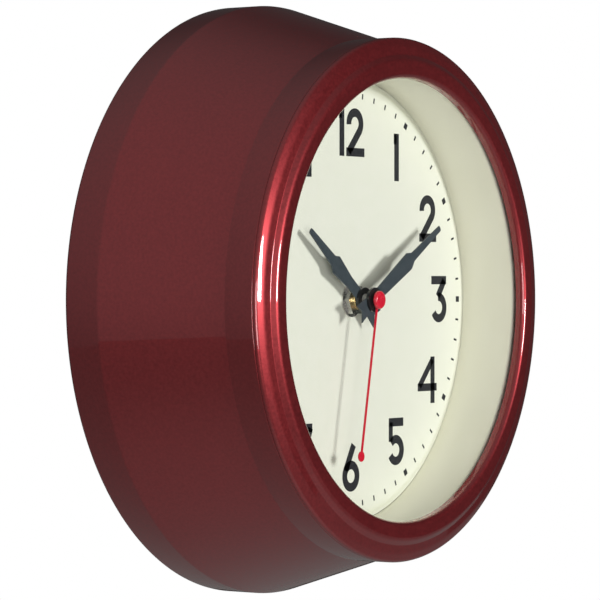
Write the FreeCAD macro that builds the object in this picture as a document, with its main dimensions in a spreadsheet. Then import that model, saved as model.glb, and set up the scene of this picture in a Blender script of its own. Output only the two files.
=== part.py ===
import FreeCAD, Part
import math
import os
import Sketcher

# A round wall clock, in millimetres. +Z is up and the clock faces -Y. The origin is the
# centre of the plane that touches the wall, so a point's height above the wall is -Y.
# In this file that height is called "lift".

doc = FreeCAD.newDocument("WallClock")
sheet = doc.addObject("Spreadsheet::Sheet", "Dims")
SIZES = {}
FINISHED = []

# Driving dimensions. Every lift is measured forward from the wall.
DIMENSIONS = [
    ("case_radius", 119.8), ("rim_inside", 112.0), ("shoulder_round", 1.8), ("bend_lift", 15.9),
    ("bend_round", 4.0), ("neck_radius", 104.25), ("neck_lift", 63.9), ("flange_lift", 76.4),
    ("flange_inside", 95.5), ("wall_thick", 1.0), ("ledge_inside", 103.0), ("ledge_lift", 2.2),
    ("bezel_radius", 104.25), ("roll_lift", 77.85), ("roll_round", 1.9), ("crest_radius", 100.6),
    ("crest_lift", 79.35), ("crest_round", 8.0), ("groove_radius", 97.35), ("groove_lift", 79.9),
    ("groove_round", 0.8), ("bead_radius", 95.0), ("bead_lift", 81.75), ("bead_round", 2.2),
    ("aperture_radius", 88.0), ("seat_lift", 77.6), ("screw_grip", 1.6), ("lens_radius", 95.0),
    ("lens_lift", 74.6), ("lens_thick", 2.2), ("ring_inside", 90.6),
    ("ring_thick", 0.6), ("ring_foot", 97.0), ("dial_lift", 52.0), ("dial_thick", 0.5),
    ("dial_flat", 85.5), ("dial_radius", 90.2), ("dial_drop", 2.0), ("carrier_lift", 51.5),
    ("carrier_step", 2.1), ("plateau_radius", 60.0), ("plateau_foot", 66.0), ("carrier_radius", 100.0),
    ("carrier_thick", 1.0), ("shaft_hole", 4.1), ("bracket_wide", 14.0),
    ("cover_radius", 111.5), ("cover_thick", 0.8), ("access_radius", 55.0), ("notch_wide", 36.0),
    ("notch_floor", 80.0), ("cover_screw_radius", 107.5), ("hanger_half", 16.0), ("hanger_low", 82.0),
    ("hanger_high", 110.0), ("hanger_thick", 1.5), ("key_centre", 90.0), ("key_radius", 4.5),
    ("key_slot", 4.2), ("key_top", 99.0), ("move_half", 28.0), ("move_back", 33.3),
    ("move_front", 49.5), ("move_wall", 1.1), ("lid_thick", 0.8), ("bay_top", -11.5),
    ("room_floor", -10.5), ("bush_radius", 4.0), ("bush_bore", 2.55), ("bush_front", 56.6),
    ("washer_radius", 6.9), ("washer_thick", 0.6), ("nut_flats", 11.0), ("nut_thick", 2.5),
    ("hour_out", 2.5), ("hour_bore", 1.65), ("minute_out", 1.6), ("minute_bore", 0.65),
    ("seconds_out", 0.6), ("hour_lift", 57.5), ("minute_lift", 62.3), ("seconds_lift", 64.6),
    ("hand_thick", 0.5), ("hour_length", 46.7), ("minute_length", 59.2), ("seconds_length", 65.4),
    ("collet_radius", 5.0), ("barrel_radius", 3.0), ("hub_radius", 4.6), ("cap_radius", 4.2),
    ("arbor_radius", 0.5),
    ("cell_radius", 7.15), ("cell_length", 49.2), ("cell_lift", 38.9), ("cell_height", -19.3),
    ("hour_angle", 306.0), ("minute_angle", 60.0), ("seconds_angle", 191.0),
    ("short_mesh", 10.8), ("long_mesh", 11.5), ("rotor_mesh", 7.7),
]

for row, (alias, number) in enumerate(DIMENSIONS, 1):
    sheet.set("A%d" % row, alias)
    sheet.set("B%d" % row, str(number))
    sheet.setAlias("B%d" % row, alias)
    SIZES[alias] = number
doc.recompute()


def amount(text):
    """The number that a sum of cells stands for, such as "case_radius - wall_thick"."""
    total = 0.0
    sign = 1.0
    for word in text.split():
        if word == "+":
            sign = 1.0
        elif word == "-":
            sign = -1.0
        else:
            total += sign * (SIZES[word] if word in SIZES else float(word))
            sign = 1.0
    return total


def cells(text):
    """The same sum as an expression on the spreadsheet."""
    return " ".join("Dims." + word if word in SIZES else word for word in text.split())


def bind(item, name, text):
    item.setExpression(name, cells(text))


def forward(x, z, lift):
    """A placement whose own Z axis points to the front, at this lift above the wall."""
    turn = FreeCAD.Rotation(FreeCAD.Vector(1, 0, 0), 90)
    return FreeCAD.Placement(FreeCAD.Vector(x, -lift, z), turn)


def clockwise(angle):
    """A turn about the clock's axis, clockwise as seen from the front."""
    return FreeCAD.Placement(FreeCAD.Vector(), FreeCAD.Rotation(FreeCAD.Vector(0, 1, 0), angle))


def finish(item, label):
    """Mark an object as a finished sub-part, and name its file."""
    item.Label = label
    FINISHED.append(item)
    return item


# ---- Building blocks ----

def origin_plane(body, role):
    return [plane for plane in body.Origin.OriginFeatures if plane.Role == role][0]


def new_sketch(body, name, role):
    sketch = body.newObject("Sketcher::SketchObject", name)
    sketch.AttachmentSupport = [(origin_plane(body, role), "")]
    sketch.MapMode = "FlatFace"
    return sketch


def draw_outline(sketch, corners):
    """A closed polygon. Each corner is a pair of sums of cells, and is bound to them."""
    places = [FreeCAD.Vector(amount(across), amount(up), 0) for across, up in corners]
    first = sketch.GeometryCount
    count = len(corners)
    for index in range(count):
        sketch.addGeometry(Part.LineSegment(places[index], places[(index + 1) % count]), False)
    for index in range(count):
        following = first + (index + 1) % count
        sketch.addConstraint(Sketcher.Constraint("Coincident", first + index, 2, following, 1))
    for index, (across, up) in enumerate(corners):
        for kind, text in (("DistanceX", across), ("DistanceY", up)):
            number = sketch.addConstraint(Sketcher.Constraint(kind, first + index, 1, amount(text)))
            bind(sketch, "Constraints[%d]" % number, text)


def draw_circle(sketch, across, up, radius):
    """A circle whose centre and radius are bound to cells."""
    place = FreeCAD.Vector(amount(across), amount(up), 0)
    circle = sketch.addGeometry(Part.Circle(place, FreeCAD.Vector(0, 0, 1), amount(radius)), False)
    for kind, text in (("DistanceX", across), ("DistanceY", up)):
        number = sketch.addConstraint(Sketcher.Constraint(kind, circle, 3, amount(text)))
        bind(sketch, "Constraints[%d]" % number, text)
    number = sketch.addConstraint(Sketcher.Constraint("Radius", circle, amount(radius)))
    bind(sketch, "Constraints[%d]" % number, radius)


def turned(label, corners):
    """A body turned about the clock's axis. Corners are (radius, lift) pairs."""
    body = doc.addObject("PartDesign::Body", "Body_" + label)
    sketch = new_sketch(body, "Section_" + label, "XY_Plane")
    draw_outline(sketch, corners)
    solid = body.newObject("PartDesign::Revolution", "Turned_" + label)
    solid.Profile = sketch
    solid.ReferenceAxis = (sketch, ["V_Axis"])
    body.Placement.Rotation = FreeCAD.Rotation(FreeCAD.Vector(0, 0, 1), 180)
    doc.recompute()
    return body


def soften(body, corners, radius):
    """Round the circular edges of a turned body that stand at these (radius, lift) corners."""
    base = body.Tip
    names = []
    for number, edge in enumerate(base.Shape.Edges, 1):
        if edge.Curve.TypeId != "Part::GeomCircle":
            continue
        for across, lift in corners:
            near = abs(edge.Curve.Radius - amount(across)) < 0.01
            if near and abs(edge.Curve.Center.y - amount(lift)) < 0.01:
                names.append("Edge%d" % number)
    rounding = body.newObject("PartDesign::Fillet", "Round_" + base.Name)
    rounding.Base = (base, names)
    bind(rounding, "Radius", radius)
    doc.recompute()


def plate(label, lift, thick, corners=None, circles=()):
    """A flat body facing the front: an outline, or a first circle, with round holes."""
    body = doc.addObject("PartDesign::Body", "Body_" + label)
    sketch = new_sketch(body, "Face_" + label, "XZ_Plane")
    if corners:
        draw_outline(sketch, corners)
    for across, up, radius in circles:
        draw_circle(sketch, across, up, radius)
    pad = body.newObject("PartDesign::Pad", "Pad_" + label)
    pad.Profile = sketch
    bind(pad, "Length", thick)
    body.setExpression("Placement.Base.y", "-(%s)" % cells(lift))
    doc.recompute()
    return body


def rod(name, x, z, lift, length, radius):
    """A cylinder along the clock's axis, running forward from this lift."""
    item = doc.addObject("Part::Cylinder", name)
    bind(item, "Radius", radius)
    bind(item, "Height", length)
    item.Placement = forward(x, z, amount(lift))
    return item


def block(name, low, size):
    """A box from its low corner (x, y, z) and its size, both given as sums of cells."""
    item = doc.addObject("Part::Box", name)
    for side, text in zip(("Length", "Width", "Height"), size):
        bind(item, side, text)
    item.Placement.Base = FreeCAD.Vector(*[amount(text) for text in low])
    return item


def fuse(name, items):
    item = doc.addObject("Part::MultiFuse", name)
    item.Shapes = items
    return item


def cut(name, base, tools):
    item = doc.addObject("Part::Cut", name)
    item.Base = base
    item.Tool = tools[0] if len(tools) == 1 else fuse(name + "_tools", tools)
    return item


def group(name, items):
    item = doc.addObject("Part::Compound", name)
    item.Links = items
    return item


def tube(name, lift, length, outside, inside):
    """A tube on the clock's axis."""
    core = rod(name + "_core", 0, 0, lift, length, inside)
    return cut(name, rod(name + "_skin", 0, 0, lift, length, outside), [core])


def screw(name, x, z, head, shank):
    """A pan-head screw: head and shank are each (lift, length, radius)."""
    return fuse(name, [rod(name + "_head", x, z, *head), rod(name + "_shank", x, z, *shank)])


def around(radius, angle):
    """The (x, z) of a point at this clockwise angle from twelve o'clock."""
    return radius * math.sin(math.radians(angle)), radius * math.cos(math.radians(angle))


# ---- Case, bezel and glass ----

def case_shell():
    """One spun steel shell: rear rim and ledge, shoulder, cone, neck and front flange."""
    inner_neck = "neck_radius - wall_thick"
    body = turned("case_shell", [
        ("rim_inside", "0"), ("case_radius", "0"), ("case_radius", "bend_lift"),
        ("neck_radius", "neck_lift"), ("neck_radius", "flange_lift"), ("flange_inside", "flange_lift"),
        ("flange_inside", "flange_lift - wall_thick"), (inner_neck, "flange_lift - wall_thick"),
        (inner_neck, "neck_lift"), ("case_radius - wall_thick", "bend_lift"),
        ("case_radius - wall_thick", "wall_thick"), ("rim_inside + wall_thick", "wall_thick"),
        ("rim_inside + wall_thick", "ledge_lift + wall_thick"), ("ledge_inside", "ledge_lift + wall_thick"),
        ("ledge_inside", "ledge_lift"), ("rim_inside", "ledge_lift")])
    soften(body, [("case_radius", "0")], "shoulder_round")
    soften(body, [("case_radius - wall_thick", "wall_thick")], "shoulder_round - wall_thick")
    soften(body, [("case_radius", "bend_lift"), ("case_radius - wall_thick", "bend_lift")], "bend_round")
    finish(drill_case(body), "case_shell")


def front_bezel():
    """Ring in front of the flange: a sloping outer roll, a shallow groove and a raised bead."""
    body = turned("front_bezel", [
        ("aperture_radius", "seat_lift"), ("aperture_radius", "bead_lift"), ("bead_radius", "bead_lift"),
        ("groove_radius", "groove_lift"), ("crest_radius", "crest_lift"), ("bezel_radius", "roll_lift"),
        ("bezel_radius", "flange_lift"), ("flange_inside", "flange_lift"), ("flange_inside", "seat_lift")])
    soften(body, [("bezel_radius", "roll_lift")], "roll_round")
    soften(body, [("crest_radius", "crest_lift")], "crest_round")
    soften(body, [("groove_radius", "groove_lift")], "groove_round")
    soften(body, [("aperture_radius", "bead_lift"), ("bead_radius", "bead_lift")], "bead_round")
    pilots = []
    for index in range(4):
        x, z = around(amount("flange_inside + neck_radius") / 2, 45 + 90 * index)
        pilots.append(rod("Bezel_pilot%d" % index, x, z, "flange_lift", "screw_grip", "1.1"))
    finish(cut("Bezel_drilled", body, pilots), "front_bezel")


def bezel_screws():
    """Four screws pass through the case flange from inside and hold the bezel."""
    screws = []
    for index in range(4):
        x, z = around(amount("flange_inside + neck_radius") / 2, 45 + 90 * index)
        head = ("flange_lift - wall_thick - 1.4", "1.4", "2.2")
        shank = ("flange_lift - wall_thick", "wall_thick + screw_grip", "1.1")
        screws.append(screw("Bezel_screw%d" % index, x, z, head, shank))
    finish(group("Bezel_screws", screws), "bezel_screws")


def drill_case(shell):
    """Clearance holes in the flange for the bezel screws and in the ledge for the cover screws."""
    holes = []
    for index in range(4):
        x, z = around(amount("flange_inside + neck_radius") / 2, 45 + 90 * index)
        holes.append(rod("Flange_hole%d" % index, x, z, "flange_lift - 1.5", "2", "1.15"))
    for index in range(6):
        x, z = around(amount("cover_screw_radius"), 30 + 60 * index)
        holes.append(rod("Ledge_hole%d" % index, x, z, "ledge_lift - 0.5", "2", "1.25"))
    for side in (-1, 1):
        holes.append(rod("Rivet_hole%d" % side, 11 * side, 106, "ledge_lift - 0.5", "2", "1.5"))
    return cut("Case_drilled", shell, holes)


def lens_glass():
    finish(rod("Lens", 0, 0, "lens_lift", "lens_thick", "lens_radius"), "lens_glass")


def lens_gasket():
    lift = "lens_lift + lens_thick"
    finish(tube("Gasket", lift, "seat_lift - lens_lift - lens_thick", "lens_radius", "ring_inside"),
           "lens_gasket")


def reflector_ring():
    """Deep cream ring between dial and glass, with a foot and a front flange."""
    outside = "ring_inside + ring_thick"
    foot = "carrier_lift - carrier_step"
    finish(turned("reflector_ring", [
        ("ring_inside", foot), ("ring_foot", foot), ("ring_foot", foot + " + ring_thick"),
        (outside, foot + " + ring_thick"), (outside, "lens_lift - ring_thick"),
        ("lens_radius", "lens_lift - ring_thick"), ("lens_radius", "lens_lift"),
        ("ring_inside", "lens_lift")]), "reflector_ring")


# ---- Dial and the sheet that carries it ----

def dial_plate():
    """Flat dial whose edge is rolled back towards the wall."""
    back = "dial_lift - dial_thick"
    finish(turned("dial_plate", [
        ("shaft_hole", back), ("shaft_hole", "dial_lift"), ("dial_flat", "dial_lift"),
        ("dial_radius", "dial_lift - dial_drop"), ("dial_radius - dial_thick", "dial_lift - dial_drop"),
        ("dial_flat - 0.2", back)]), "dial_plate")


def dial_carrier():
    """Pressed steel sheet behind the dial: a raised plateau and a lower rim for the screws."""
    low = "carrier_lift - carrier_step"
    body = turned("dial_carrier", [
        ("shaft_hole", "carrier_lift - carrier_thick"), ("shaft_hole", "carrier_lift"),
        ("plateau_radius", "carrier_lift"), ("plateau_foot", low), ("carrier_radius", low),
        ("carrier_radius", low + " - carrier_thick"), ("plateau_foot - 0.6", low + " - carrier_thick"),
        ("plateau_radius - 0.6", "carrier_lift - carrier_thick")])
    holes = []
    for index in range(4):
        x, z = around(amount("ring_foot + 1.4"), 45 + 90 * index)
        holes.append(rod("Carrier_hole%d" % index, x, z, low + " - 2", "3", "1.15"))
    finish(cut("Carrier_drilled", body, holes), "dial_carrier")


def case_brackets():
    """Four angle brackets welded to the cone; the dial carrier is screwed to them."""
    top = amount("carrier_lift - carrier_step - carrier_thick")
    slope = math.degrees(math.atan2(amount("case_radius - neck_radius"), amount("neck_lift - bend_lift")))
    brackets = []
    for index in range(4):
        shelf = block("Shelf%d" % index, ("-7", "0", "94"), ("bracket_wide", "wall_thick", "13.9"))
        shelf.Placement.Base.y = -top
        foot = block("Foot%d" % index, ("-7", "0", "106.9"), ("bracket_wide", "12", "wall_thick"))
        foot.Placement.Base.y = -top
        foot.Placement.Rotation = FreeCAD.Rotation(FreeCAD.Vector(1, 0, 0), slope)
        hole = rod("Shelf_hole%d" % index, 0, amount("ring_foot + 1.4"), "40", "12", "1.0")
        bracket = cut("Bracket%d" % index, fuse("Angle%d" % index, [shelf, foot]), [hole])
        bracket.Placement = clockwise(45 + 90 * index)
        brackets.append(bracket)
    finish(group("Brackets", brackets), "case_brackets")


def carrier_screws():
    screws = []
    for index in range(4):
        x, z = around(amount("ring_foot + 1.4"), 45 + 90 * index)
        low = "carrier_lift - carrier_step"
        head = (low, "1.2", "1.4")
        shank = (low + " - 5", "5", "1.0")
        screws.append(screw("Carrier_screw%d" % index, x, z, head, shank))
    finish(group("Carrier_screws", screws), "carrier_screws")


# ---- Back of the clock ----

def rear_cover():
    """Black steel sheet on the case ledge, with a battery access hole and a notch for the hanger."""
    body = plate("rear_cover", "ledge_lift - cover_thick", "cover_thick", None,
                 [("0", "0", "cover_radius"), ("0", "0", "access_radius")])
    tools = [block("Notch", ("-18", "-10", "notch_floor"), ("notch_wide", "20", "40"))]
    for index in range(6):
        x, z = around(amount("cover_screw_radius"), 30 + 60 * index)
        tools.append(rod("Cover_hole%d" % index, x, z, "0", "4", "1.25"))
    finish(cut("Cover_cut", body, tools), "rear_cover")


def rear_cover_screws():
    screws = []
    for index in range(6):
        x, z = around(amount("cover_screw_radius"), 30 + 60 * index)
        head = ("0.2", "1.2", "2.4")
        shank = ("1.4", "4.4", "1.2")
        screws.append(screw("Cover_screw%d" % index, x, z, head, shank))
    finish(group("Cover_screws", screws), "rear_cover_screws")


def hanger_plate():
    """Steel plate with a keyhole: a round entry and a narrow slot above it."""
    body = plate("hanger_plate", "ledge_lift - hanger_thick", "hanger_thick", [
        ("- hanger_half", "hanger_low"), ("hanger_half", "hanger_low"),
        ("hanger_half", "hanger_high"), ("- hanger_half", "hanger_high")])
    entry = rod("Key_entry", 0, amount("key_centre"), "0", "4", "key_radius")
    slot = block("Key_slot", ("-2.1", "-4", "key_centre"), ("key_slot", "4", "key_top - key_centre"))
    top = rod("Key_top", 0, amount("key_top"), "0", "4", "2.1")
    rivets = [rod("Hanger_hole%d" % side, 11 * side, 106, "0", "4", "1.5") for side in (-1, 1)]
    finish(cut("Hanger_cut", body, [entry, slot, top] + rivets), "hanger_plate")


def hanger_rivets():
    rivets = []
    for side in (-1, 1):
        head = rod("Rivet_head%d" % side, 11 * side, 106, "0.1", "0.6", "2.6")
        shank = rod("Rivet_shank%d" % side, 11 * side, 106, "0.6", "ledge_lift + wall_thick - 0.6", "1.5")
        tail = rod("Rivet_tail%d" % side, 11 * side, 106, "ledge_lift + wall_thick", "0.8", "2.3")
        rivets.append(fuse("Rivet%d" % side, [head, shank, tail]))
    finish(group("Rivets", rivets), "hanger_rivets")


def wall_pads():
    """Two rubber pads low on the cover keep the clock upright and protect the wall."""
    lift = "ledge_lift - cover_thick"
    pads = [rod("Pad%d" % side, 45 * side, -85, "0", lift, "5") for side in (-1, 1)]
    finish(group("Pads", pads), "wall_pads")


# ---- Quartz movement: housing and fixings ----

def movement_housing():
    """Black moulded box, open to the rear: a wheel room above and a battery bay below."""
    width = "move_half + move_half"
    inside = "move_half + move_half - move_wall - move_wall"
    skin = block("Box_skin", ("- move_half", "- move_front", "- move_half"),
                 (width, "move_front - move_back", width))
    depth = "move_front - move_back"
    room = block("Box_room", ("move_wall - move_half", "move_wall - move_front", "room_floor"),
                 (inside, depth, "move_half - move_wall - room_floor"))
    bay = block("Box_bay", ("move_wall - move_half", "move_wall - move_front", "move_wall - move_half"),
                (inside, depth, "bay_top - move_wall + move_half"))
    bore = rod("Box_bore", 0, 0, "40", "20", "bush_radius")
    posts = [rod("Post%d" % index, x, z, "move_back", depth + " - move_wall", "1.9")
             for index, (x, z) in enumerate(lid_corners())]
    pilots = [rod("Post_pilot%d" % index, x, z, "move_back", "12", "1.0")
              for index, (x, z) in enumerate(lid_corners())]
    hollow = cut("Box_hollow", skin, [room, bay])
    finish(cut("Box", fuse("Box_posts", [hollow] + posts), pilots + [bore]), "movement_housing")


def lid_corners():
    """The places of the lid's four screws, in corner posts of the housing."""
    return [(side * 25.4, up) for side in (-1, 1) for up in (25.4, -9.0)]


def movement_rear_cover():
    """Lid over the wheel room, with a hole for the time-setting stem."""
    lid = block("Lid_plate", ("- move_half", "- move_back", "bay_top"),
                ("move_half + move_half", "lid_thick", "move_half - bay_top"))
    x, z = STEM
    tools = [rod("Lid_stem_hole", x, z, "30", "5", "1.25")]
    tools += [rod("Lid_hole%d" % index, x, z, "30", "5", "1.0")
              for index, (x, z) in enumerate(lid_corners())]
    finish(cut("Lid", lid, tools), "movement_rear_cover")


def movement_screws():
    """Four small screws run through the lid into posts in the wheel room's corners."""
    screws = []
    for index, (x, z) in enumerate(lid_corners()):
        head = ("move_back - lid_thick - 0.9", "0.9", "1.7")
        shank = ("move_back - lid_thick", "lid_thick + 11", "1.0")
        screws.append(screw("Lid_screw%d" % index, x, z, head, shank))
    finish(group("Lid_screws", screws), "movement_screws")


def shaft_bushing():
    """Threaded brass tube through the dial, with a flange inside the housing."""
    body = turned("shaft_bushing", [
        ("bush_bore", "move_front - move_wall - 0.7"), ("6", "move_front - move_wall - 0.7"),
        ("6", "move_front - move_wall"), ("bush_radius", "move_front - move_wall"),
        ("bush_radius", "bush_front"), ("bush_bore", "bush_front")])
    finish(body, "shaft_bushing")


def movement_gasket():
    thick = "carrier_lift - carrier_thick - move_front"
    finish(tube("Washer_rubber", "move_front", thick, "13", "bush_radius"), "movement_gasket")


def mounting_washer():
    finish(tube("Washer_steel", "dial_lift", "washer_thick", "washer_radius", "bush_radius"),
           "mounting_washer")


def mounting_nut():
    """Hexagonal brass nut that clamps dial, carrier and movement together."""
    hexagon = doc.addObject("Part::Prism", "Nut_hexagon")
    hexagon.Polygon = 6
    hexagon.setExpression("Circumradius", "Dims.nut_flats / sqrt(3)")
    bind(hexagon, "Height", "nut_thick")
    hexagon.Placement = forward(0, 0, amount("dial_lift + washer_thick"))
    bore = rod("Nut_bore", 0, 0, "dial_lift", "6", "bush_radius")
    finish(cut("Nut", hexagon, [bore]), "mounting_nut")


# ---- Wheels. Each mesh runs in its own layer, counted from the front ----

LAYERS = {"hours": ("44.0", "1.4"), "motion": ("41.8", "1.2"), "minutes": ("39.9", "1.0"),
          "third": ("37.8", "1.0"), "seconds": ("35.9", "0.9"), "rotor": ("34.2", "0.7")}


def from_centre(start, distance, angle):
    """A point at this distance and angle (degrees from +X towards +Z) from another."""
    turn = math.radians(angle)
    return start[0] + amount(distance) * math.cos(turn), start[1] + amount(distance) * math.sin(turn)


CENTRE = (0.0, 0.0)
MOTION_ARBOR = from_centre(CENTRE, "long_mesh", 150)
STEM = from_centre(MOTION_ARBOR, "long_mesh", 100)
THIRD_ARBOR = from_centre(CENTRE, "short_mesh", 30)
FIFTH_ARBOR = from_centre(CENTRE, "short_mesh", 93)
ROTOR_ARBOR = from_centre(FIFTH_ARBOR, "rotor_mesh", 70)
THIRD_WHEEL_PHASE = 210.0


def tooth_outline(teeth, pitch_radius, phase):
    """Outline of a toothed wheel: short involute teeth, thinned so that they run free."""
    module = 2 * pitch_radius / teeth
    base = pitch_radius * math.cos(math.radians(20))
    involute = math.tan(math.radians(20)) - math.radians(20)
    half_pitch = 0.8 * math.pi / (2 * teeth)
    stations = []
    for radius in (pitch_radius - 0.95 * module, pitch_radius, pitch_radius + 0.6 * module):
        lean = math.acos(min(1.0, base / radius))
        stations.append((radius, half_pitch + involute - (math.tan(lean) - lean)))
    points = []
    for tooth in range(teeth):
        middle = math.radians(phase) + 2 * math.pi * tooth / teeth
        for side, flank in ((-1, stations), (1, reversed(stations))):
            for radius, half in flank:
                angle = middle + side * half
                points.append(FreeCAD.Vector(radius * math.cos(angle), 0, radius * math.sin(angle)))
    return points + points[:1]


def wheel(name, place, layer, teeth, pitch_radius, phase):
    """A toothed wheel in its layer. The tooth form is a formula, so its shape is set directly."""
    lift, thick = LAYERS[layer]
    face = Part.Face(Part.makePolygon(tooth_outline(teeth, pitch_radius, phase)))
    item = doc.addObject("Part::Feature", name)
    item.Shape = face.extrude(FreeCAD.Vector(0, -amount(thick), 0))
    item.Placement = FreeCAD.Placement(FreeCAD.Vector(place[0], -amount(lift), place[1]), FreeCAD.Rotation())
    return item


def opposite_phase(phase, line, teeth, other_teeth):
    """Phase that puts the other wheel's gap on a tooth. line is the angle from this wheel to it."""
    ahead = (line - phase) * teeth / other_teeth
    return line + 180 + ahead + 180 / other_teeth


def pivots(name, place):
    """Thin steel arbor between the lid and the front of the housing."""
    length = "move_front - move_wall - 0.1 - move_back - 0.1"
    return rod(name, place[0], place[1], "move_back + 0.1", length, "arbor_radius")


def hour_wheel():
    """Hour wheel and the tube that carries the hour hand."""
    teeth = wheel("Hour_teeth", CENTRE, "hours", 48, 9.2, 150)
    sleeve = rod("Hour_sleeve", 0, 0, "43.4", "15.8", "hour_out")
    bore = rod("Hour_hole", 0, 0, "40", "20", "hour_bore")
    finish(cut("Hour_wheel", fuse("Hour_blank", [teeth, sleeve]), [bore]), "hour_wheel")


def minute_wheel():
    """Minute wheel, cannon pinion and the tube that carries the minute hand."""
    teeth = wheel("Minute_teeth", CENTRE, "minutes", 64, 9.6, 30)
    pinion = wheel("Cannon_teeth", CENTRE, "motion", 12, 2.875, 150)
    sleeve = rod("Minute_sleeve", 0, 0, "39.5", "24.1", "minute_out")
    bore = rod("Minute_hole", 0, 0, "30", "40", "minute_bore")
    finish(cut("Minute_wheel", fuse("Minute_blank", [teeth, pinion, sleeve]), [bore]), "minute_wheel")


def seconds_wheel():
    """Seconds wheel and pinion on the long centre arbor."""
    teeth = wheel("Seconds_teeth", CENTRE, "seconds", 60, 9.0, 93)
    phase = opposite_phase(THIRD_WHEEL_PHASE, 210, 60, 8)
    pinion = wheel("Seconds_pinion", CENTRE, "third", 8, 10.8 * 8 / 68, phase)
    arbor = rod("Seconds_arbor", 0, 0, "33.4", "seconds_lift + hand_thick - 33.4", "seconds_out")
    finish(fuse("Seconds_wheel", [teeth, pinion, arbor]), "seconds_wheel")




def third_wheel():
    teeth = wheel("Third_teeth", THIRD_ARBOR, "third", 60, 10.8 * 60 / 68, THIRD_WHEEL_PHASE)
    pinion = wheel("Third_pinion", THIRD_ARBOR, "minutes", 8, 1.2, opposite_phase(30, 30, 64, 8))
    finish(fuse("Third_wheel", [teeth, pinion, pivots("Third_pivots", THIRD_ARBOR)]), "third_wheel")


def fifth_wheel():
    teeth = wheel("Fifth_teeth", FIFTH_ARBOR, "rotor", 60, 6.6, 70)
    pinion = wheel("Fifth_pinion", FIFTH_ARBOR, "seconds", 12, 1.8, opposite_phase(93, 93, 60, 12))
    finish(fuse("Fifth_wheel", [teeth, pinion, pivots("Fifth_pivots", FIFTH_ARBOR)]), "fifth_wheel")


def rotor():
    """Rotor pinion on its arbor, and the round magnet that the coil turns."""
    pinion = wheel("Rotor_teeth", ROTOR_ARBOR, "rotor", 10, 1.1, opposite_phase(70, 70, 60, 10))
    finish(fuse("Rotor_pinion", [pinion, pivots("Rotor_pivots", ROTOR_ARBOR)]), "rotor_pinion")
    magnet = rod("Magnet_round", ROTOR_ARBOR[0], ROTOR_ARBOR[1], "35.6", "3.4", "2.8")
    hole = rod("Magnet_hole", ROTOR_ARBOR[0], ROTOR_ARBOR[1], "35", "5", "arbor_radius")
    finish(cut("Magnet", magnet, [hole]), "rotor_magnet")


def minute_work_wheel():
    """Wheel and pinion that drive the hour wheel from the cannon pinion."""
    teeth = wheel("Work_teeth", MOTION_ARBOR, "motion", 36, 8.625, opposite_phase(150, 150, 12, 36))
    pinion = wheel("Work_pinion", MOTION_ARBOR, "hours", 12, 2.3, opposite_phase(150, 150, 48, 12))
    finish(fuse("Work_wheel", [teeth, pinion, pivots("Work_pivots", MOTION_ARBOR)]), "minute_work_wheel")


def setting_stem():
    """Pinion and stem that the knob at the back turns to set the hands."""
    work_phase = opposite_phase(150, 150, 12, 36)
    pinion = wheel("Stem_teeth", STEM, "motion", 12, 2.875, opposite_phase(work_phase, 100, 36, 12))
    stem = rod("Stem_rod", STEM[0], STEM[1], "29.6", "16.6", "1.2")
    finish(fuse("Stem", [pinion, stem]), "setting_stem")


def setting_knob():
    """Ribbed knob pressed on the end of the stem."""
    disc = rod("Knob_disc", STEM[0], STEM[1], "29.2", "2.8", "5.5")
    tools = [rod("Knob_bore", STEM[0], STEM[1], "29.6", "4", "1.2")]
    for index in range(16):
        x, z = around(5.7, 22.5 * index)
        tools.append(rod("Knob_rib%d" % index, STEM[0] + x, STEM[1] + z, "29", "4", "0.6"))
    finish(cut("Knob", disc, tools), "setting_knob")


# ---- Motor and circuit ----

def stator_plate():
    """Soft iron plate around the rotor, with a leg that runs under the coil."""
    body = plate("stator_plate", "36.4", "1.0", [
        ("-3.6", "14.4"), ("23.4", "14.4"), ("23.4", "24.2"), ("21.8", "24.2"), ("21.8", "17.0"),
        ("8.2", "17.0"), ("8.2", "25.8"), ("-3.6", "25.8")])
    hole = rod("Stator_hole", ROTOR_ARBOR[0], ROTOR_ARBOR[1], "35", "5", "3.2")
    finish(cut("Stator", body, [hole]), "stator_plate")


def coil_core():
    finish(block("Core", ("5", "-38.4", "21.3"), ("18.4", "1.0", "2.4")), "coil_core")


def coil_bobbin():
    """Moulded bobbin on the core, with a cheek at each end."""
    barrel = block("Barrel", ("9.6", "-38.9", "20.8"), ("11.2", "2.0", "3.4"))
    left = block("Cheek_left", ("9.0", "-40.9", "19.4"), ("0.6", "6.0", "6.2"))
    right = block("Cheek_right", ("20.8", "-40.9", "19.4"), ("0.6", "6.0", "6.2"))
    slot = block("Bobbin_slot", ("8", "-38.4", "21.3"), ("15", "1.0", "2.4"))
    finish(cut("Bobbin", fuse("Bobbin_blank", [barrel, left, right]), [slot]), "coil_bobbin")


def coil_winding():
    wire = doc.addObject("Part::Cylinder", "Wire")
    wire.Radius = 2.9
    wire.Height = 11.2
    along = FreeCAD.Rotation(FreeCAD.Vector(0, 1, 0), 90)
    wire.Placement = FreeCAD.Placement(FreeCAD.Vector(9.6, -37.9, 22.5), along)
    inside = block("Wire_inside", ("9", "-38.9", "20.8"), ("13", "2.0", "3.4"))
    finish(cut("Winding", wire, [inside]), "coil_winding")


def circuit():
    """Circuit board with the driver chip under a round of resin, and the quartz crystal."""
    finish(block("Board", ("11", "-34.4", "-9.4"), ("12", "1.0", "21.4")), "circuit_board")
    finish(rod("Chip", 17, 6, "34.4", "1.3", "3.2"), "driver_chip")
    can = doc.addObject("Part::Cylinder", "Crystal_can")
    can.Radius = 1.0
    can.Height = 6.0
    can.Placement.Base = FreeCAD.Vector(17, -35.4, -6.5)
    finish(can, "quartz_crystal")


# ---- Battery bay ----

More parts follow.
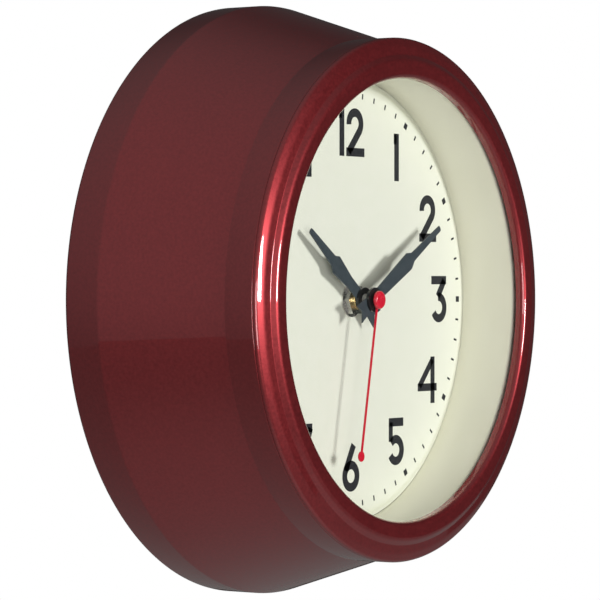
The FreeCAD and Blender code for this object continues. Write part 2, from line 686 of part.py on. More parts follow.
def battery_spring():
    """Negative contact: a conical spring, simplified to a solid cone on a back plate."""
    turn = FreeCAD.Rotation(FreeCAD.Vector(0, 1, 0), 90)
    low = amount("move_wall - move_half")
    centre = FreeCAD.Vector(low, -amount("cell_lift"), amount("cell_height"))
    corner = ("move_wall - move_half", "0 - cell_lift - 4", "cell_height - 5")
    leaf = block("Spring_leaf", corner, ("0.4", "8", "10"))
    coil = doc.addObject("Part::Cone", "Spring_coil")
    coil.Radius1 = 4.0
    coil.Radius2 = 2.4
    coil.Height = 1.4
    coil.Placement = FreeCAD.Placement(centre + FreeCAD.Vector(0.4, 0, 0), turn)
    finish(fuse("Spring", [leaf, coil]), "battery_spring")


def battery_contact():
    """Positive contact: a flat leaf with a raised button."""
    high = amount("move_half - move_wall")
    corner = ("move_half - move_wall - 0.4", "0 - cell_lift - 4", "cell_height - 5")
    leaf = block("Contact_leaf", corner, ("0.4", "8", "10"))
    button = doc.addObject("Part::Cylinder", "Contact_button")
    button.Radius = 2.0
    button.Height = 1.1
    turn = FreeCAD.Rotation(FreeCAD.Vector(0, 1, 0), 90)
    foot = FreeCAD.Vector(high - 1.5, -amount("cell_lift"), amount("cell_height"))
    button.Placement = FreeCAD.Placement(foot, turn)
    finish(fuse("Contact", [leaf, button]), "battery_contact")


def battery_cell():
    """One AA cell lying across the bay, with its button to the right as seen from the front."""
    turn = FreeCAD.Rotation(FreeCAD.Vector(0, 1, 0), 90)
    start = FreeCAD.Vector(-25.0, -amount("cell_lift"), amount("cell_height"))
    can = doc.addObject("Part::Cylinder", "Cell_can")
    bind(can, "Radius", "cell_radius")
    bind(can, "Height", "cell_length")
    can.Placement = FreeCAD.Placement(start, turn)
    button = doc.addObject("Part::Cylinder", "Cell_button")
    button.Radius = 2.75
    bind(button, "Height", "cell_length + 1.0")
    button.Placement = FreeCAD.Placement(start, turn)
    finish(fuse("Cell", [can, button]), "battery_cell")


# ---- Hands. Each is drawn pointing to twelve and then turned to its angle ----

def hand_blade(name, lift, length, halves, tail, angle):
    """A flat hand with a round hub. halves are (distance, half width) pairs up to the shoulder."""
    tail_half, tail_length, notch = tail
    right = [(half, along) for along, half in halves] + [("1.15", length + " - 0.3"), ("0.4", length)]
    left = [("- " + half, along) for half, along in reversed(right)]
    ends = [("0", "- " + notch), (tail_half, "- " + tail_length)]
    body = plate(name, lift, "hand_thick", ends + right + left + [("- " + tail_half, "- " + tail_length)])
    hub = rod(name + "_hub", 0, 0, lift, "hand_thick", "hub_radius")
    bore = rod(name + "_bore", 0, 0, lift + " - 1", "3", "barrel_radius")
    item = cut(name + "_blade", fuse(name + "_blank", [body, hub]), [bore])
    item.Placement = clockwise(amount(angle))
    finish(item, name)


def hour_hand():
    hand_blade("hour_hand", "hour_lift", "hour_length",
               [("0", "2.5"), ("12", "2.5"), ("24", "4.0"), ("26.7", "2.3")],
               ("4.4", "13", "10.4"), "hour_angle")


def minute_hand():
    hand_blade("minute_hand", "minute_lift", "minute_length",
               [("0", "2.6"), ("6", "2.6"), ("31.5", "3.7"), ("35", "1.9")],
               ("3.9", "11.5", "9.2"), "minute_angle")


def collet(name, lift, tube_radius):
    """Black collet that grips the hand and is pressed on its tube."""
    barrel = rod(name + "_barrel", 0, 0, lift + " - 0.9", "hand_thick + 0.9", "barrel_radius")
    flange = rod(name + "_flange", 0, 0, lift + " + hand_thick", "1.0", "collet_radius")
    bore = rod(name + "_hole", 0, 0, lift + " - 2", "6", tube_radius)
    finish(cut(name + "_turned", fuse(name + "_blank", [barrel, flange]), [bore]), name)


def seconds_hand():
    """Red needle with a round dot near its tip."""
    needle = block("Needle", ("-0.5", "0", "0"), ("1.0", "hand_thick", "seconds_length"))
    needle.Placement.Base.y = -amount("seconds_lift + hand_thick")
    hub = rod("Needle_hub", 0, 0, "seconds_lift", "hand_thick", "2.6")
    dot = rod("Needle_dot", 0, 63.3, "seconds_lift", "hand_thick", "2.05")
    bore = rod("Needle_bore", 0, 0, "60", "6", "seconds_out")
    item = cut("Needle_cut", fuse("Needle_blank", [needle, hub, dot]), [bore])
    item.Placement = clockwise(amount("seconds_angle"))
    finish(item, "seconds_hand")


def seconds_cap():
    """Domed red cap over the end of the centre arbor."""
    body = turned("seconds_cap", [
        ("0", "seconds_lift + hand_thick"), ("cap_radius", "seconds_lift + hand_thick"),
        ("cap_radius", "seconds_lift + hand_thick + 1.6"), ("0", "seconds_lift + hand_thick + 1.6")])
    soften(body, [("cap_radius", "seconds_lift + hand_thick + 1.6")], "1.2")
    finish(body, "seconds_cap")


def seconds_collet():
    finish(tube("Seconds_collet", "seconds_lift - 0.6", "0.6", "1.3", "seconds_out"), "seconds_collet")


# ---- Build everything ----

case_shell()
front_bezel()
bezel_screws()
lens_glass()
lens_gasket()
reflector_ring()
dial_plate()
dial_carrier()
case_brackets()
carrier_screws()
rear_cover()
rear_cover_screws()
hanger_plate()
hanger_rivets()
wall_pads()
movement_housing()
movement_rear_cover()
movement_screws()
shaft_bushing()
movement_gasket()
mounting_washer()
mounting_nut()
hour_wheel()
minute_wheel()
seconds_wheel()
third_wheel()
fifth_wheel()
rotor()
minute_work_wheel()
setting_stem()
setting_knob()
stator_plate()
coil_core()
coil_bobbin()
coil_winding()
circuit()
battery_spring()
battery_contact()
battery_cell()
hour_hand()
collet("hour_collet", "hour_lift", "hour_out")
minute_hand()
collet("minute_collet", "minute_lift", "minute_out")
seconds_hand()
seconds_collet()
seconds_cap()
doc.recompute()

# ---- Check and write ----

failed = [item.Name for item in doc.Objects if "Invalid" in item.State or "Error" in item.State]
for item in FINISHED:
    if item.Shape.isNull() or not item.Shape.isValid() or item.Shape.Volume < 0.1:
        failed.append(item.Label)
if failed:
    raise RuntimeError("these objects failed: %s" % ", ".join(failed))
os.makedirs("parts", exist_ok=True)
for item in FINISHED:
    item.Shape.exportStep("parts/%s.step" % item.Label)
    print("%-22s %9.2f mm3, %d solids" % (item.Label, item.Shape.Volume, len(item.Shape.Solids)))
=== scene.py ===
import math
import bmesh
import bpy
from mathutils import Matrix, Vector


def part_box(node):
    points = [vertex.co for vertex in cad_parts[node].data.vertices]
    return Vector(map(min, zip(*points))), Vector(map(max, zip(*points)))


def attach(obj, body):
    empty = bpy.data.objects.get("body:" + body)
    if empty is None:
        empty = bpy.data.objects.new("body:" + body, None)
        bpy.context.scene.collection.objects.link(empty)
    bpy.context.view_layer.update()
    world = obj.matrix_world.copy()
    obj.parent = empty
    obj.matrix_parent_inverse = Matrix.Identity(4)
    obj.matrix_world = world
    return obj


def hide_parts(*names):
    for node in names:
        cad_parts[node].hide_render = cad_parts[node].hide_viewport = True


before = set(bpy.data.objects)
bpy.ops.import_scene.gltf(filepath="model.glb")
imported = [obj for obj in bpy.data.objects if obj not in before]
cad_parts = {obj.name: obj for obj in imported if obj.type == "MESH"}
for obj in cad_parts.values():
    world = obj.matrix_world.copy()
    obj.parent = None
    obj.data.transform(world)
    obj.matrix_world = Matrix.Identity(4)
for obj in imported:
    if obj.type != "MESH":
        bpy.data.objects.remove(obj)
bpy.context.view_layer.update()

# ---- Camera ----
# The clock is seen from its left front, level with the centre of the dial, as it would be
# seen by someone who walks past it along the wall.
MM = 0.001
dial_lift = -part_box("mounting_washer")[1].y
view_turn = math.radians(-55.90)
view_rise = math.radians(0.294)
view_distance = 1.2177
aim = Vector((-0.0371, -dial_lift - 0.0004, 0.0001))
away = Vector((math.sin(view_turn) * math.cos(view_rise), -math.cos(view_turn) * math.cos(view_rise),
               math.sin(view_rise)))
camera_data = bpy.data.cameras.new("camera")
camera_data.lens = 186.1
camera_data.sensor_width = 36.0
camera = bpy.data.objects.new("camera", camera_data)
camera.location = aim + away * view_distance
camera.rotation_mode = "QUATERNION"
camera.rotation_quaternion = (-away).to_track_quat("-Z", "Y")
bpy.context.collection.objects.link(camera)
bpy.context.scene.camera = camera
bpy.context.scene.view_settings.view_transform = "Standard"


# ---- Studio: pale floor, white surround and soft lights ----
# The surround looks white to the camera but lights the clock dimly and mostly from the upper
# left, so that the gloss paint keeps its dark parts. The light straight in front makes the
# hands' shadows. The floor lies as far down as below a clock on a wall.
def area_light(name, place, target, width, height, power):
    data = bpy.data.lights.new(name, "AREA")
    data.shape = "RECTANGLE"
    data.size = width
    data.size_y = height
    data.energy = power
    light = bpy.data.objects.new(name, data)
    light.location = place
    light.rotation_mode = "QUATERNION"
    light.rotation_quaternion = (Vector(target) - Vector(place)).to_track_quat("-Z", "Y")
    bpy.context.collection.objects.link(light)


area_light("front_light", place=(0.05, -1.9, 0.17), target=(0, 0, 0), width=0.34, height=0.36, power=25)
area_light("fill_light", place=(-1.3, -1.4, -0.15), target=(0, 0, 0), width=0.7, height=0.7, power=13)

world = bpy.data.worlds.new("studio")
world.use_nodes = True
bpy.context.scene.world = world
nodes = world.node_tree.nodes
links = world.node_tree.links
nodes.clear()
seen = nodes.new("ShaderNodeBackground")
seen.inputs["Color"].default_value = (1, 1, 1, 1)
seen.inputs["Strength"].default_value = 1.0
lit = nodes.new("ShaderNodeBackground")
lit.inputs["Color"].default_value = (1, 1, 1, 1)
facing = nodes.new("ShaderNodeTexCoord")
side = nodes.new("ShaderNodeVectorMath")
side.operation = "DOT_PRODUCT"
side.inputs[1].default_value = Vector((-0.75, -0.1, 0.55)).normalized()
fade = nodes.new("ShaderNodeMapRange")
fade.interpolation_type = "SMOOTHSTEP"
fade.inputs["From Min"].default_value = -0.3
fade.inputs["From Max"].default_value = 1.0
fade.inputs["To Min"].default_value = 0.04
fade.inputs["To Max"].default_value = 0.42
links.new(facing.outputs["Generated"], side.inputs[0])
links.new(side.outputs["Value"], fade.inputs["Value"])
links.new(fade.outputs["Result"], lit.inputs["Strength"])
path = nodes.new("ShaderNodeLightPath")
blend = nodes.new("ShaderNodeMixShader")
world_out = nodes.new("ShaderNodeOutputWorld")
links.new(path.outputs["Is Camera Ray"], blend.inputs["Fac"])
links.new(lit.outputs["Background"], blend.inputs[1])
links.new(seen.outputs["Background"], blend.inputs[2])
links.new(blend.outputs["Shader"], world_out.inputs["Surface"])

floor_mesh = bpy.data.meshes.new("floor")
floor_maker = bmesh.new()
bmesh.ops.create_circle(floor_maker, cap_ends=True, segments=96, radius=6.0)
floor_maker.to_mesh(floor_mesh)
floor_maker.free()
floor = bpy.data.objects.new("floor", floor_mesh)
floor.location.z = -1.5
bpy.context.collection.objects.link(floor)
floor_paint = bpy.data.materials.new("floor_paint")
floor_paint.use_nodes = True
floor_shader = floor_paint.node_tree.nodes["Principled BSDF"]
floor_shader.inputs["Base Color"].default_value = (0.62, 0.62, 0.61, 1)
floor_shader.inputs["Roughness"].default_value = 0.6
floor_mesh.materials.append(floor_paint)


# ---- Case ----
# A deep spun-steel shell: a rolled shoulder at the wall, a cone and a short neck. It is
# sprayed with maroon metallic paint and a clear gloss coat, which show a fine orange peel.
def variation_group():
    """Two colours, a roughness and a height that vary with noise over the surface."""
    tree = bpy.data.node_groups.new("surface_variation", "ShaderNodeTree")
    face = tree.interface
    for name, kind, value in (("Colour", "NodeSocketColor", (0.5, 0.5, 0.5, 1)),
                              ("Second colour", "NodeSocketColor", (0.4, 0.4, 0.4, 1)),
                              ("Scale", "NodeSocketFloat", 200.0), ("Stretch", "NodeSocketVector", (1, 1, 1)),
                              ("Smoothest", "NodeSocketFloat", 0.3), ("Roughest", "NodeSocketFloat", 0.4)):
        socket = face.new_socket(name, in_out="INPUT", socket_type=kind)
        socket.default_value = value
    for name, kind in (("Colour", "NodeSocketColor"), ("Roughness", "NodeSocketFloat"),
                       ("Height", "NodeSocketFloat")):
        face.new_socket(name, in_out="OUTPUT", socket_type=kind)
    made = tree.nodes
    join = tree.links
    given = made.new("NodeGroupInput")
    result = made.new("NodeGroupOutput")
    place = made.new("ShaderNodeTexCoord")
    stretch = made.new("ShaderNodeVectorMath")
    stretch.operation = "MULTIPLY"
    fine = made.new("ShaderNodeTexNoise")
    fine.inputs["Detail"].default_value = 3.0
    broad = made.new("ShaderNodeTexNoise")
    broad.inputs["Scale"].default_value = 14.0
    broad.inputs["Detail"].default_value = 2.0
    both = made.new("ShaderNodeMath")
    both.operation = "MULTIPLY_ADD"
    both.inputs[1].default_value = 0.35
    spread = made.new("ShaderNodeMapRange")
    spread.inputs["From Min"].default_value = 0.42
    spread.inputs["From Max"].default_value = 0.93
    colour = made.new("ShaderNodeMix")
    colour.data_type = "RGBA"
    rough = made.new("ShaderNodeMapRange")
    join.new(place.outputs["Object"], stretch.inputs[0])
    join.new(given.outputs["Stretch"], stretch.inputs[1])
    join.new(stretch.outputs["Vector"], fine.inputs["Vector"])
    join.new(given.outputs["Scale"], fine.inputs["Scale"])
    join.new(place.outputs["Object"], broad.inputs["Vector"])
    join.new(broad.outputs["Fac"], both.inputs[0])
    join.new(fine.outputs["Fac"], both.inputs[2])
    join.new(both.outputs["Value"], spread.inputs["Value"])
    join.new(spread.outputs["Result"], colour.inputs["Factor"])
    join.new(given.outputs["Colour"], colour.inputs["A"])
    join.new(given.outputs["Second colour"], colour.inputs["B"])
    join.new(spread.outputs["Result"], rough.inputs["Value"])
    join.new(given.outputs["Smoothest"], rough.inputs["To Min"])
    join.new(given.outputs["Roughest"], rough.inputs["To Max"])
    join.new(colour.outputs["Result"], result.inputs["Colour"])
    join.new(rough.outputs["Result"], result.inputs["Roughness"])
    join.new(fine.outputs["Fac"], result.inputs["Height"])
    return tree


variation = variation_group()


def finish_material(name, colours, rough, scale, bump, metallic=0.0, stretch=(1, 1, 1), **sockets):
    """A material whose colour, roughness and bump come from the variation group."""
    material = bpy.data.materials.new(name)
    material.use_nodes = True
    tree = material.node_tree
    shader = tree.nodes["Principled BSDF"]
    group = tree.nodes.new("ShaderNodeGroup")
    group.node_tree = variation
    group.inputs["Colour"].default_value = (*colours[0], 1)
    group.inputs["Second colour"].default_value = (*colours[1], 1)
    group.inputs["Scale"].default_value = scale
    group.inputs["Stretch"].default_value = stretch
    group.inputs["Smoothest"].default_value = rough[0]
    group.inputs["Roughest"].default_value = rough[1]
    relief = tree.nodes.new("ShaderNodeBump")
    relief.inputs["Strength"].default_value = bump[0]
    relief.inputs["Distance"].default_value = bump[1] * MM
    tree.links.new(group.outputs["Height"], relief.inputs["Height"])
    tree.links.new(group.outputs["Colour"], shader.inputs["Base Color"])
    tree.links.new(group.outputs["Roughness"], shader.inputs["Roughness"])
    tree.links.new(relief.outputs["Normal"], shader.inputs["Normal"])
    shader.inputs["Metallic"].default_value = metallic
    for socket, value in sockets.items():
        shader.inputs[socket.replace("_", " ")].default_value = value
    return material


def arc(centre, radius, start, end, steps=10):
    """Points of a section's arc: centre is (radius, lift), angles in degrees from outward to front."""
    turns = [math.radians(start + (end - start) * step / steps) for step in range(steps + 1)]
    return [(centre[0] + radius * math.cos(turn), centre[1] + radius * math.sin(turn)) for turn in turns]


def rounded(corners, steps=8):
    """A section from (radius, lift, rounding) corners; a rounding of 0 keeps the corner sharp."""
    points = []
    for index, (radius, lift, rounding) in enumerate(corners):
        corner = Vector((radius, lift))
        before = (Vector(corners[index - 1][:2]) - corner).normalized()
        after = (Vector(corners[(index + 1) % len(corners)][:2]) - corner).normalized()
        if not rounding:
            points.append((radius, lift))
            continue
        half = before.angle(after) / 2
        centre = corner + (before + after).normalized() * rounding / math.sin(half)
        start = (corner + before * rounding / math.tan(half) - centre).normalized()
        end = (corner + after * rounding / math.tan(half) - centre).normalized()
        for step in range(steps + 1):
            spot = centre + start.slerp(end, step / steps) * rounding
            points.append((spot.x, spot.y))
    return points


def lathe(name, section, sides=256, crease=28):
    """Turn a closed section of (radius, lift) points, in millimetres, about the clock's axis."""
    maker = bmesh.new()
    rings = []
    for radius, lift in section:
        ring = []
        for side in range(sides):
            turn = 2 * math.pi * side / sides
            ring.append(maker.verts.new((radius * math.sin(turn) * MM, -lift * MM, radius * math.cos(turn) * MM)))
        rings.append(ring)
    for index, ring in enumerate(rings):
        after = rings[(index + 1) % len(rings)]
        for side in range(sides):
            other = (side + 1) % sides
            maker.faces.new((ring[side], after[side], after[other], ring[other]))
    bmesh.ops.recalc_face_normals(maker, faces=maker.faces)
    mesh = bpy.data.meshes.new(name)
    maker.to_mesh(mesh)
    maker.free()
    mesh.shade_smooth()
    mesh.set_sharp_from_angle(angle=math.radians(crease))
    piece = bpy.data.objects.new(name, mesh)
    bpy.context.collection.objects.link(piece)
    return piece


def place_piece(piece, body, material, slot, *replaced):
    """Give a piece its material and body, and hide the built nodes that it stands for."""
    piece.data.materials.clear()
    piece.data.materials.append(material)
    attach(piece, body)
    if replaced:
        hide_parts(*replaced)


case_paint = finish_material("case_paint", ((0.20, 0.013, 0.017), (0.26, 0.020, 0.024)), (0.34, 0.42), 900.0,
                             (0.08, 0.03), metallic=0.75, Coat_Weight=1.0, Coat_Roughness=0.03, Coat_IOR=1.5)
case_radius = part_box("case_shell")[1].x / MM
neck_front = -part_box("case_shell")[0].y / MM
neck_radius = 104.25
crease_lift = 63.9
bend_lift = 15.9
wall = 1.0
shoulder_round = 1.8
bend_round = 4.0
crease_round = 1.2
joint_round = 0.5
rear_inner_round = 0.8
rim_inside = 112.0
ledge_inside = 103.0
ledge_lift = 2.2
flange_inside = 95.5
case_section = rounded([
    (rim_inside, 0.0, 0), (case_radius, 0.0, shoulder_round), (case_radius, bend_lift, bend_round),
    (neck_radius, crease_lift, crease_round), (neck_radius, neck_front, joint_round),
    (flange_inside, neck_front, 0), (flange_inside, neck_front - wall, 0),
    (neck_radius - wall, neck_front - wall, 0), (neck_radius - wall, crease_lift, 0),
    (case_radius - wall, bend_lift, bend_round), (case_radius - wall, wall, rear_inner_round),
    (rim_inside + wall, wall, 0), (rim_inside + wall, ledge_lift + wall, 0),
    (ledge_inside, ledge_lift + wall, 0), (ledge_inside, ledge_lift, 0), (rim_inside, ledge_lift, 0)])
case_shell = lathe("case", case_section, 320)
place_piece(case_shell, "case", case_paint, "case_paint", "case_shell")


# ---- Bezel ----
# A ring in the same paint: a sloping outer roll, a shallow groove and a raised bead round the
# glass. A fine joint shows where it meets the neck of the case.
bezel_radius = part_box("front_bezel")[1].x / MM
bead_front = -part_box("front_bezel")[0].y / MM
aperture = 88.0
seat_lift = 77.6
bead_radius, bead_round, bead_foot_round = 95.0, 2.2, 3.4
groove_radius, groove_lift, groove_round = 97.35, 79.9, 0.8
crest_radius, crest_lift, crest_round = 100.6, 79.35, 8.0
roll_lift, roll_round = 77.85, 1.9
bezel_section = rounded([
    (aperture, seat_lift, 0), (aperture, bead_front, bead_round), (bead_radius, bead_front, bead_foot_round),
    (groove_radius, groove_lift, groove_round), (crest_radius, crest_lift, crest_round),
    (bezel_radius, roll_lift, roll_round), (bezel_radius, neck_front + joint_round, 0),
    (bezel_radius - joint_round, neck_front, 0), (flange_inside, neck_front, 0),
    (flange_inside, seat_lift, 0)], 12)
bezel = lathe("bezel", bezel_section, 320, 40)
place_piece(bezel, "case", case_paint, "case_paint", "front_bezel")


# ---- Glass ----
# A flat disc of clear float glass with its edges just ground. It lies on a black rubber ring
# and is held between the bezel and the reflector ring.
lens_back = -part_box("lens_glass")[1].y / MM
lens_front = -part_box("lens_glass")[0].y / MM
glass = bpy.data.materials.new("clear_glass")
glass.use_nodes = True
glass_shader = glass.node_tree.nodes["Principled BSDF"]
glass_shader.inputs["Base Color"].default_value = (0.02, 0.02, 0.02, 1)
glass_shader.inputs["Roughness"].default_value = 0.02
glass_shader.inputs["Alpha"].default_value = 0.04
glass_shader.inputs["IOR"].default_value = 1.5
lens_radius = 94.9
lens_bevel = 0.3
near_axis = 0.01
lens = lathe("lens", [
    (near_axis, lens_back), (lens_radius - lens_bevel, lens_back), (lens_radius, lens_back + lens_bevel),
    (lens_radius, lens_front - lens_bevel), (lens_radius - lens_bevel, lens_front), (near_axis, lens_front)], 192)
place_piece(lens, "case", glass, "glass", "lens_glass")


# ---- Reflector ring ----
# A deep ring of sheet metal between the dial and the glass, painted satin cream. Its front
# edge is turned outwards in a small bend, on which the glass rests.
ring_paint = finish_material("ring_paint", ((0.92, 0.91, 0.76), (0.95, 0.94, 0.80)), (0.28, 0.42), 60.0,
                             (0.10, 0.25), stretch=(1, 3, 1))
ring_foot = 49.4
ring_sheet = 0.6
ring_inside = 90.6
ring_foot_outside = 97.0
ring_lip_outside = 95.0
ring_bend = 1.0
ring_section = [
    (ring_inside, ring_foot), (ring_foot_outside, ring_foot), (ring_foot_outside, ring_foot + ring_sheet),
    (ring_inside + ring_sheet, ring_foot + ring_sheet), (ring_inside + ring_sheet, lens_back - ring_sheet),
    (ring_lip_outside, lens_back - ring_sheet), (ring_lip_outside, lens_back)]
ring_section += arc((ring_inside + ring_bend, lens_back - ring_bend), ring_bend, 90, 180, 6)
ring = lathe("reflector", ring_section, 320)
place_piece(ring, "case", ring_paint, "cream_paint", "reflector_ring")


# ---- Dial ----
# A flat painted sheet whose edge is rolled back towards the wall. The numerals and minute
# marks are printed in dark grey: upright geometric figures, bold squares at the hours.
dial_paint = finish_material("dial_paint", ((0.80, 0.825, 0.70), (0.82, 0.84, 0.725)), (0.34, 0.44), 260.0,
                             (0.06, 0.03))
ink = finish_material("printing_ink", ((0.020, 0.022, 0.026), (0.034, 0.036, 0.040)), (0.40, 0.55), 900.0,
                      (0.15, 0.02), Specular_IOR_Level=0.1)
dial_face = dial_lift / MM
dial_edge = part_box("dial_plate")[1].x / MM
dial_hole = 4.1
dial_sheet = 0.5
dial_flat = 84.6
edge_roll = 6.0
edge_back = dial_face - 2.0
dial_section = [(dial_hole, dial_face - dial_sheet), (dial_hole, dial_face), (dial_flat, dial_face)]
dial_section += arc((dial_flat, dial_face - edge_roll), edge_roll, 90, 25, 12)
dial_section += [(dial_edge, edge_back), (dial_edge - dial_sheet, edge_back), (89.4, dial_face - 1.8),
                 (84.4, dial_face - dial_sheet)]
dial = lathe("dial", dial_section, 256)
place_piece(dial, "case", dial_paint, "dial_paint", "dial_plate")

figure_height = 19.5
stroke = 3.5
figure_radius = 67.5
mark_radius = 82.6
print_thick = 0.05


def ribbon(maker, points, width, closed=False):
    """A flat stroke of ink along a path of (across, up) points, in millimetres, on the dial."""
    count = len(points)
    sides = []
    for index, point in enumerate(points):
        before = points[index - 1] if index or closed else point
        after = points[(index + 1) % count] if index + 1 < count or closed else point
        along = (Vector(after) - Vector(before)).normalized()
        normal = Vector((-along.y, along.x)) * width / 2
        sides.append((Vector(point) + normal, Vector(point) - normal))
    layers = []
    for lift in (dial_face, dial_face + print_thick):
        layers.append([[maker.verts.new((spot.x * MM, -lift * MM, spot.y * MM)) for spot in pair]
                       for pair in sides])
    low, high = layers
    stretches = range(count) if closed else range(count - 1)
    for index in stretches:
        following = (index + 1) % count
        maker.faces.new((high[index][0], high[index][1], high[following][1], high[following][0]))
        maker.faces.new((low[index][0], low[following][0], low[following][1], low[index][1]))
        for edge in (0, 1):
            maker.faces.new((low[index][edge], high[index][edge], high[following][edge], low[following][edge]))
    if not closed:
        for index in (0, -1):
            maker.faces.new((low[index][0], low[index][1], high[index][1], high[index][0]))


def bow(centre, radius, start, end, squash=1.0, steps=28):
    """Points along a curve of a figure; angles in degrees, anticlockwise from the right."""
    turns = [math.radians(start + (end - start) * step / steps) for step in range(steps + 1)]
    return [(centre[0] + radius * math.cos(t), centre[1] + radius * squash * math.sin(t)) for t in turns]


top = figure_height / 2
bowl = 4.5
low_bowl = (0.0, bowl + stroke / 2 - top)


def figure_strokes(figure):
    """The strokes of one figure, each (points, width, closed), centred on its own middle."""
    bar = stroke / 2
    if figure == "1":
        return [([(0.6, -top), (0.6, top)], stroke, False), ([(-1.5, top - 2.2), (0.6, top - 2.2)], 4.4, False)]
    if figure == "2":
        curve = bow((0, top - bar - 4.45), 4.45, 186, -38)
        return [(curve + [(-4.6, bar - top)], stroke, False),
                ([(-6.4, bar - top), (7.0, bar - top)], stroke, False)]
    if figure == "3":
        return [([(-5.9, top - bar), (5.9, top - bar)], stroke, False),
                ([(4.4, top - bar), (-0.7, 1.1)], stroke, False), (bow(low_bowl, bowl, 98, -152), stroke, False)]
    if figure == "4":
        return [([(4.1, -top), (4.1, top)], 3.2, False), ([(-7.6, -3.0), (7.4, -3.0)], 3.2, False),
                ([(4.0, top - 1.3), (-6.3, -2.6)], 3.0, False)]
    if figure == "5":
        return [([(-5.3, top - bar), (5.8, top - bar)], stroke, False),
                ([(-3.8, top - bar), (-3.8, 0.0)], 3.0, False), (bow(low_bowl, bowl, 140, -152), stroke, False)]
    if figure in "69":
        turn = 1 if figure == "6" else -1
        ring_points = bow(low_bowl, bowl, 0, 360 - 360 / 48, 1.0, 47)
        foot = (low_bowl[0] - bowl * math.cos(math.radians(30)), low_bowl[1] + bowl * math.sin(math.radians(30)))
        stem = [foot, (foot[0] + 5.95, foot[1] + 10.3)]
        return [([(turn * x, turn * y) for x, y in ring_points], stroke, True),
                ([(turn * x, turn * y) for x, y in stem], stroke, False)]
    if figure == "7":
        return [([(-5.9, top - bar), (5.9, top - bar)], stroke, False),
                ([(4.6, top - bar), (-2.6, -top)], stroke, False)]
    if figure == "8":
        return [(bow((0, top - bar - 3.3), 3.3, 0, 352, 1.0, 44), stroke, True),
                (bow(low_bowl, bowl, 0, 352, 1.0, 44), stroke, True)]
    return [(bow((0, 0), 4.7, 0, 352, (top - bar) / 4.7, 44), stroke, True)]


slim_figures = {"1": 6.0}
figure_width = 14.4
hour_mark = (2.5, 2.4)
minute_mark = (2.2, 0.85)
ink_maker = bmesh.new()
for hour in range(1, 13):
    turn = math.radians(30 * hour)
    text = str(hour)
    widths = [slim_figures.get(figure, figure_width) for figure in text]
    start = figure_radius * math.sin(turn) - sum(widths) / 2
    for figure, width in zip(text, widths):
        for points, thick, closed in figure_strokes(figure):
            shifted = [(x + start + width / 2, y + figure_radius * math.cos(turn)) for x, y in points]
            ribbon(ink_maker, shifted, thick, closed)
        start += width
for minute in range(60):
    turn = math.radians(6 * minute)
    length, wide = minute_mark if minute % 5 else hour_mark
    ends = [(radius * math.sin(turn), radius * math.cos(turn))
            for radius in (mark_radius - length / 2, mark_radius + length / 2)]
    ribbon(ink_maker, ends, wide)
bmesh.ops.recalc_face_normals(ink_maker, faces=ink_maker.faces)
ink_mesh = bpy.data.meshes.new("dial_print")
ink_maker.to_mesh(ink_mesh)
ink_maker.free()
dial_print = bpy.data.objects.new("dial_print", ink_mesh)
bpy.context.collection.objects.link(dial_print)
place_piece(dial_print, "case", ink, "black_paint")


# ---- Hands ----
# Flat stamped blades in slate-grey paint on black collets, and a red needle with a dot and a
# domed cap. Their stamped edges are just broken, which catches a thin line of light.
def paint_nodes(material, bevel, *names):
    """Paint nodes that keep their built shape, and break their edges by this many millimetres."""
    for name in names:
        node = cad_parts[name]
        node.data.materials.clear()
        node.data.materials.append(material)
        if bevel:
            rounding = node.modifiers.new("broken_edges", "BEVEL")
            rounding.width = bevel * MM
            rounding.segments = 2
            rounding.limit_method = "ANGLE"
            rounding.angle_limit = math.radians(40)


slate = finish_material("slate_paint", ((0.036, 0.050, 0.058), (0.052, 0.068, 0.078)), (0.34, 0.46), 500.0,
                        (0.12, 0.03))
black_paint = finish_material("black_paint", ((0.008, 0.008, 0.009), (0.016, 0.016, 0.017)), (0.25, 0.38), 500.0,
                              (0.10, 0.03))
red_paint = finish_material("red_paint", ((0.62, 0.008, 0.030), (0.72, 0.014, 0.040)), (0.20, 0.30), 300.0,
                            (0.06, 0.03), Coat_Weight=0.5, Coat_Roughness=0.05)
paint_nodes(slate, 0.08, "hour_hand", "minute_hand")
paint_nodes(black_paint, 0.15, "hour_collet", "minute_collet")
paint_nodes(red_paint, 0.06, "seconds_hand")
cap_back = -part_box("seconds_cap")[1].y / MM
cap_front = -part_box("seconds_cap")[0].y / MM
cap_inset = 0.5
cap_round = 1.2
cap_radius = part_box("seconds_cap")[1].x / MM - cap_inset
cap_section = [(near_axis, cap_back), (cap_radius - 0.1, cap_back), (cap_radius, cap_back + 0.15)]
cap_section += arc((cap_radius - cap_round, cap_back + 0.5), cap_round, 0, 70, 8)
cap_section += [(1.6, cap_front - 0.03), (near_axis, cap_front)]
cap = lathe("cap", cap_section, 96, 60)
place_piece(cap, "seconds", red_paint, "red_paint", "seconds_cap")


# ---- Nut, washer and bushing ----
# The movement's threaded brass bushing comes through the dial, and a plated nut pulls it
# tight on a plated steel washer.
brass = finish_material("turned_brass", ((0.72, 0.52, 0.22), (0.82, 0.64, 0.34)), (0.16, 0.30), 700.0, (0.2, 0.03),
                        metallic=1.0)
bright_steel = finish_material("plated_steel", ((0.62, 0.61, 0.58), (0.74, 0.73, 0.71)), (0.18, 0.34), 500.0,
                               (0.15, 0.03), metallic=1.0)
paint_nodes(bright_steel, 0.25, "mounting_nut")
paint_nodes(brass, 0.1, "shaft_bushing")
paint_nodes(bright_steel, 0.12, "mounting_washer")


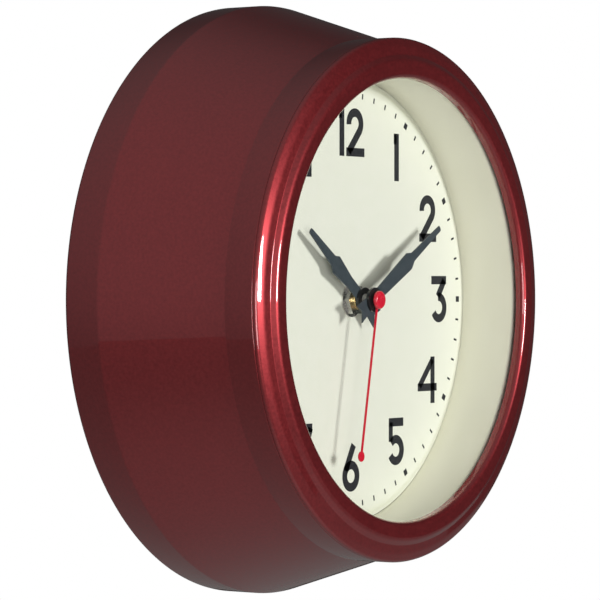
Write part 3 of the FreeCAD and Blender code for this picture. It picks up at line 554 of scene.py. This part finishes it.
# ---- Back: cover, hanger, pads and screws ----
# A black painted steel cover lies on the ledge of the case. It leaves the middle open for the
# battery and has a notch for the riveted keyhole plate that the clock hangs on.
black_sheet = finish_material("black_sheet", ((0.012, 0.012, 0.013), (0.022, 0.022, 0.023)), (0.36, 0.52), 700.0,
                              (0.35, 0.06))
rubber = finish_material("black_rubber", ((0.014, 0.014, 0.014), (0.024, 0.024, 0.024)), (0.65, 0.85), 900.0,
                         (0.4, 0.08))
paint_nodes(black_sheet, 0.12, "rear_cover")
paint_nodes(bright_steel, 0.12, "hanger_plate", "hanger_rivets", "rear_cover_screws", "bezel_screws",
            "carrier_screws", "movement_screws", "case_brackets", "dial_carrier", "seconds_collet")
paint_nodes(rubber, 0.2, "wall_pads", "lens_gasket", "movement_gasket")


# ---- Movement ----
# A quartz movement in a black moulded box: white plastic wheels, an iron stator with its
# copper coil, a small circuit board and the battery bay with its two plated contacts.
black_plastic = finish_material("black_moulding", ((0.014, 0.014, 0.015), (0.024, 0.024, 0.025)), (0.38, 0.52),
                                1200.0, (0.25, 0.05))
white_plastic = finish_material("white_moulding", ((0.70, 0.70, 0.66), (0.76, 0.76, 0.72)), (0.32, 0.45), 900.0,
                                (0.12, 0.03))
iron = finish_material("dark_iron", ((0.10, 0.10, 0.105), (0.16, 0.16, 0.165)), (0.35, 0.5), 700.0, (0.2, 0.04),
                       metallic=0.8)
copper = finish_material("enamelled_copper", ((0.45, 0.13, 0.045), (0.62, 0.22, 0.08)), (0.22, 0.36), 260.0,
                         (0.6, 0.15), metallic=0.7, stretch=(14, 1, 1))
board = finish_material("circuit_board", ((0.025, 0.12, 0.05), (0.035, 0.16, 0.07)), (0.3, 0.4), 300.0,
                        (0.15, 0.04))
sleeve = finish_material("cell_sleeve", ((0.02, 0.03, 0.05), (0.03, 0.04, 0.065)), (0.22, 0.32), 300.0,
                         (0.08, 0.03), Coat_Weight=0.4)
paint_nodes(black_plastic, 0.25, "movement_housing", "movement_rear_cover", "setting_knob", "driver_chip")
paint_nodes(white_plastic, 0.0, "hour_wheel", "minute_wheel", "seconds_wheel", "third_wheel", "fifth_wheel",
            "rotor_pinion", "minute_work_wheel", "setting_stem")
paint_nodes(white_plastic, 0.1, "coil_bobbin")
paint_nodes(iron, 0.06, "stator_plate", "coil_core", "rotor_magnet")
paint_nodes(copper, 0.1, "coil_winding")
paint_nodes(board, 0.05, "circuit_board")
paint_nodes(bright_steel, 0.08, "quartz_crystal", "battery_spring", "battery_contact")
paint_nodes(sleeve, 0.3, "battery_cell")
